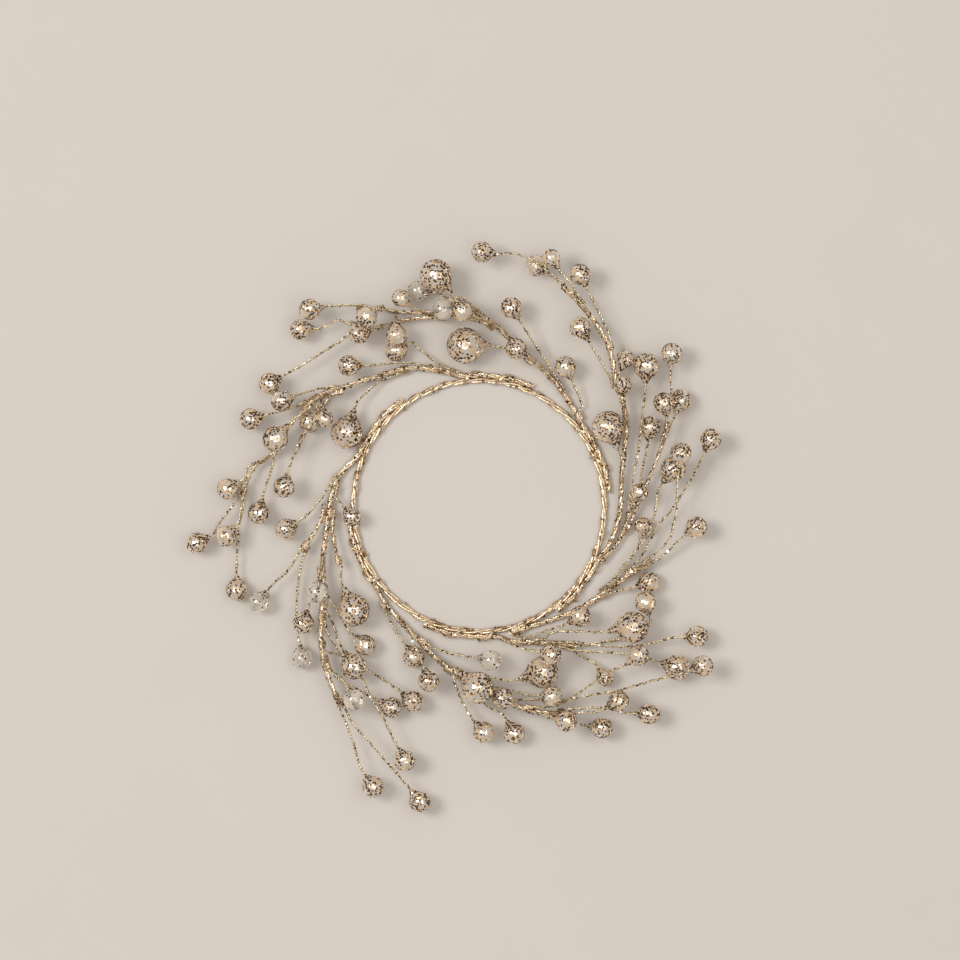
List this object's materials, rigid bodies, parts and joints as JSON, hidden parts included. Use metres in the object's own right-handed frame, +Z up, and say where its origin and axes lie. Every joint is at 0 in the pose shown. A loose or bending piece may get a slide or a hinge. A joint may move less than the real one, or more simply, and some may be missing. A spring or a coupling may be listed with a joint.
{
  "type": "candle ring",
  "caption": "Table wreath for a pillar candle: a foil-bound wire hoop with branching sprays of glittered resin berries on thin wire twigs.",
  "frame": {"origin": "middle of the hoop, in the plane of the table that it lies on", "axes": "+Z up from the table along the candle, +Y towards the top of the picture, +X to its right"},
  "size_m": [0.2215, 0.236, 0.0237],
  "materials": {
    "gold_foil": "champagne gold foil thread wound over iron wire, crinkled and bright",
    "gold_thread": "fine metallic thread twisted round thin iron wire",
    "glitter_resin": "clear resin rolled in rose gold and champagne glitter flakes",
    "clear_resin": "clear polished resin with a few flakes near the neck"
  },
  "bodies": {
    "root": {"hoop_core": "gold_foil", "hoop_binding": "gold_foil", "top_stem": "gold_foil", "top_branches": "gold_foil", "top_twigs": "gold_thread", "top_berries": "glitter_resin", "top_large_berries": "glitter_resin", "top_clear_berries": "clear_resin", "upper_left_stem": "gold_foil", "upper_left_branches": "gold_foil", "upper_left_twigs": "gold_thread", "upper_left_berries": "glitter_resin", "upper_left_large_berries": "glitter_resin", "left_stem": "gold_foil", "left_branches": "gold_foil", "left_twigs": "gold_thread", "left_berries": "glitter_resin", "left_large_berries": "glitter_resin", "left_clear_berries": "clear_resin", "bottom_stem": "gold_foil", "bottom_twigs": "gold_thread", "bottom_berries": "glitter_resin", "bottom_large_berries": "glitter_resin", "bottom_clear_berries": "clear_resin", "lower_right_stem": "gold_foil", "lower_right_twigs": "gold_thread", "lower_right_berries": "glitter_resin", "lower_right_large_berries": "glitter_resin", "right_stem": "gold_foil", "right_twigs": "gold_thread", "right_berries": "glitter_resin", "upper_right_stem": "gold_foil", "upper_right_branches": "gold_foil", "upper_right_twigs": "gold_thread", "upper_right_berries": "glitter_resin", "upper_right_large_berries": "glitter_resin"}
  },
  "joints": []
}
